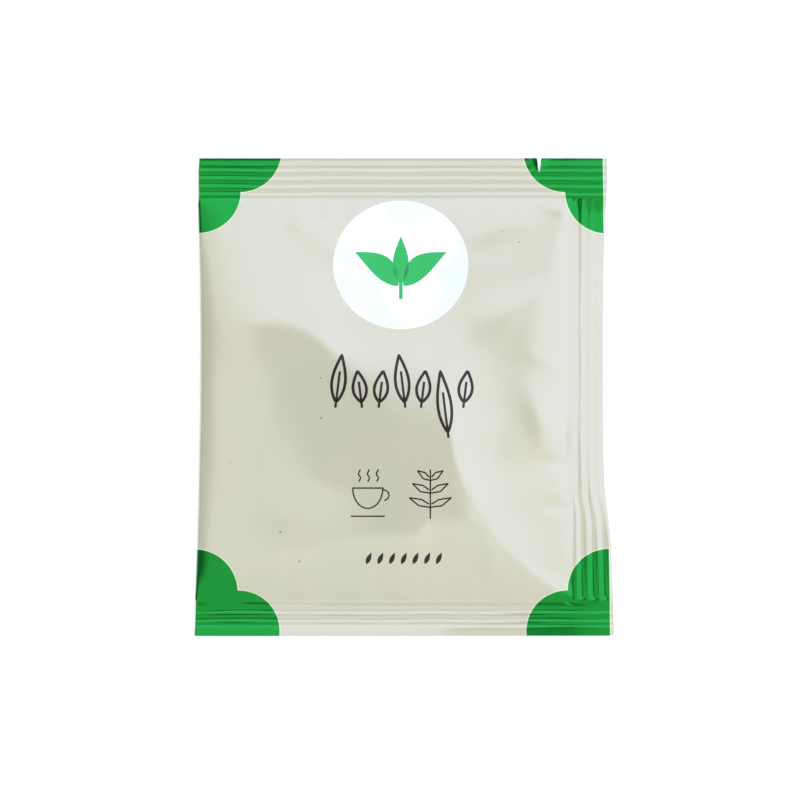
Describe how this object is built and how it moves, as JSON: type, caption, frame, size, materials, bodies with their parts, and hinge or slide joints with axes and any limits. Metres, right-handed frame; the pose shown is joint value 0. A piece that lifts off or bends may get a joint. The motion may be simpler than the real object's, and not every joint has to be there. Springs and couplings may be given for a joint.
{
  "type": "tea bag envelope",
  "caption": "Flat heat-sealed film sachet that holds a tea bag, folded along one side, with crimped ribs along its other seams and a tear notch in its top edge.",
  "frame": {"origin": "middle of the footprint, on the surface that the sachet lies on with its printed face up", "axes": "+Z out of the printed face, +Y towards the crimped edge with the tear notch, +X towards the crimped side seam"},
  "size_m": [0.066, 0.075, 0.0055],
  "materials": {
    "film": "pale cream metallised film, soft gloss",
    "green_ink": "green ink over the film, soft gloss",
    "white_ink": "white ink over the film",
    "dark_ink": "dark brown ink"
  },
  "bodies": {
    "root": {"sachet": "film"}
  },
  "joints": []
}
